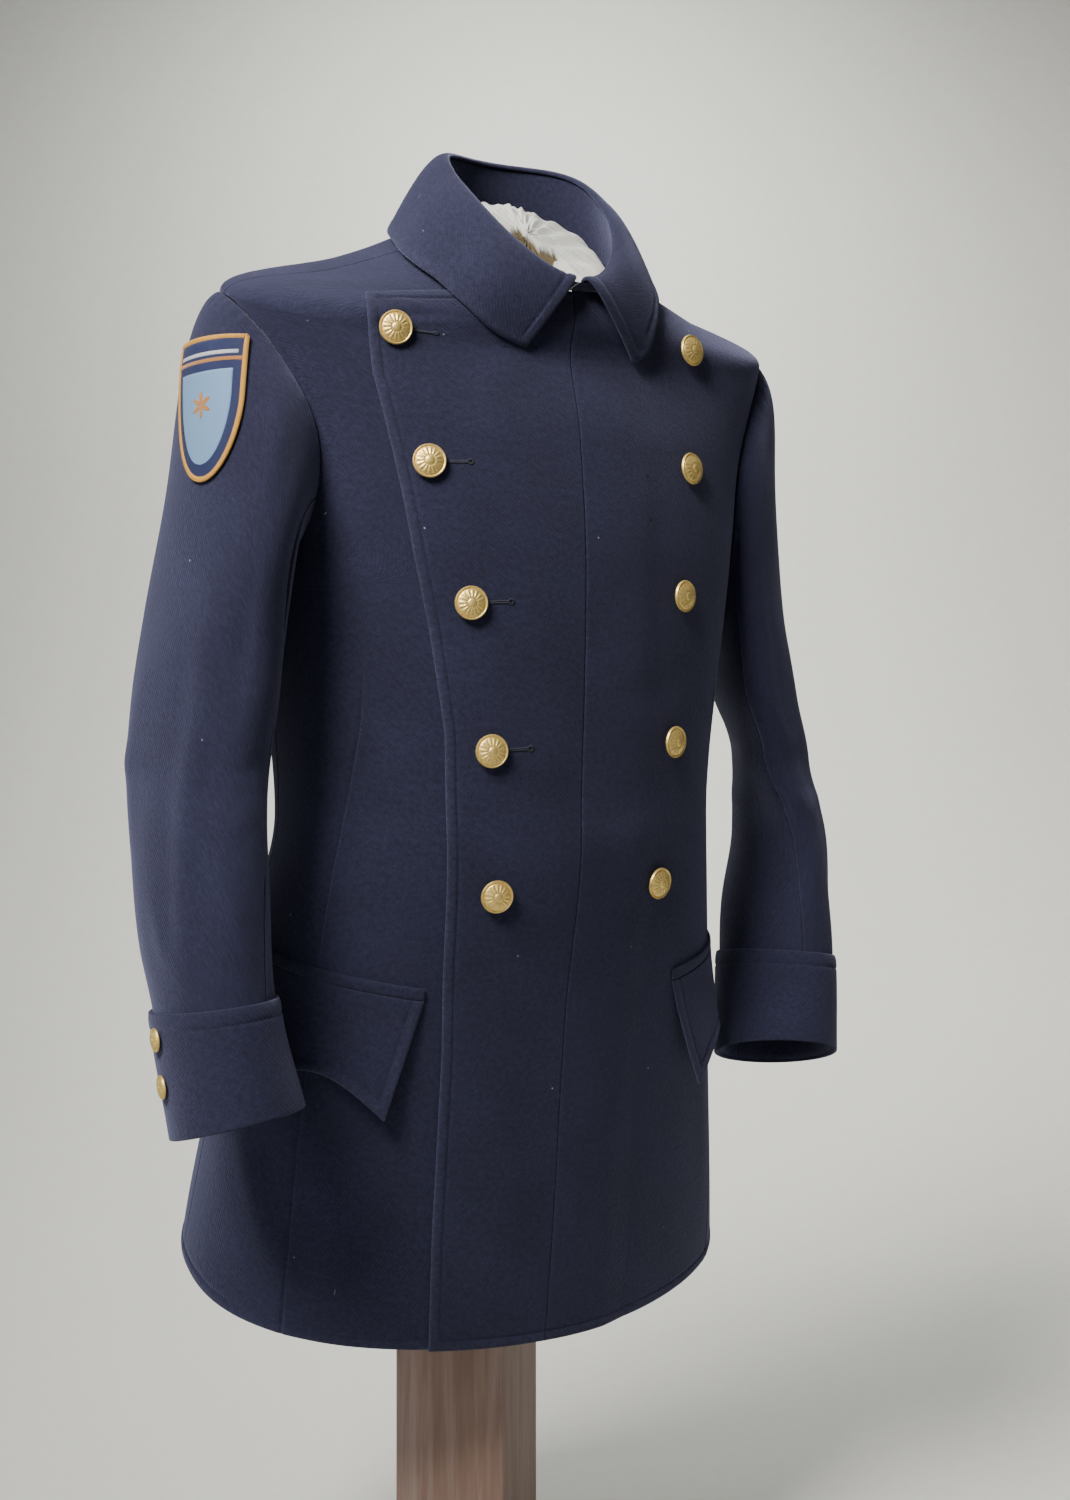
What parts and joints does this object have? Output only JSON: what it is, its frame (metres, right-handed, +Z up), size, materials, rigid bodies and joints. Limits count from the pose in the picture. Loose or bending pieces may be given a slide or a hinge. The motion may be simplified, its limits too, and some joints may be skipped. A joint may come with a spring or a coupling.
{
  "type": "police uniform tunic on a limbless dress form",
  "caption": "Double-breasted navy wool police tunic with a stand-and-fall collar, turned cuffs and flapped hip pockets, on a limbless dress form and wooden post.",
  "frame": {"origin": "middle of the underside of the stand's base", "axes": "+Z up; the tunic faces -Y; the wearer's left is +X"},
  "size_m": [0.5871, 0.3922, 1.1096],
  "materials": {
    "navy_wool": "matt napped wool",
    "gilt_brass": "polished gilt",
    "patch_embroidery": "embroidered twill",
    "form_cover": "thin crumpled cotton",
    "post_wood": "bare, sawn"
  },
  "bodies": {
    "root": {"forepart_right": "navy_wool", "forepart_left": "navy_wool", "lapel_left": "navy_wool", "back_left": "navy_wool", "back_right": "navy_wool", "topsleeve_right": "navy_wool", "undersleeve_right": "navy_wool", "topsleeve_left": "navy_wool", "undersleeve_left": "navy_wool", "cuff_right": "navy_wool", "cuff_left": "navy_wool", "collar_stand": "navy_wool", "collar_leaf": "navy_wool", "pocket_flap_right": "navy_wool", "pocket_flap_left": "navy_wool", "pocket_welt_right": "navy_wool", "pocket_welt_left": "navy_wool", "button_right_1": "gilt_brass", "button_right_2": "gilt_brass", "button_right_3": "gilt_brass", "button_right_4": "gilt_brass", "button_right_5": "gilt_brass", "button_left_1": "gilt_brass", "button_left_2": "gilt_brass", "button_left_3": "gilt_brass", "button_left_4": "gilt_brass", "button_left_5": "gilt_brass", "cuff_button_right_1": "gilt_brass", "cuff_button_right_2": "gilt_brass", "cuff_button_left_1": "gilt_brass", "cuff_button_left_2": "gilt_brass", "sleeve_patch_right": "patch_embroidery", "dress_form": "form_cover", "stand_post": "post_wood", "stand_base": "post_wood"}
  },
  "joints": []
}
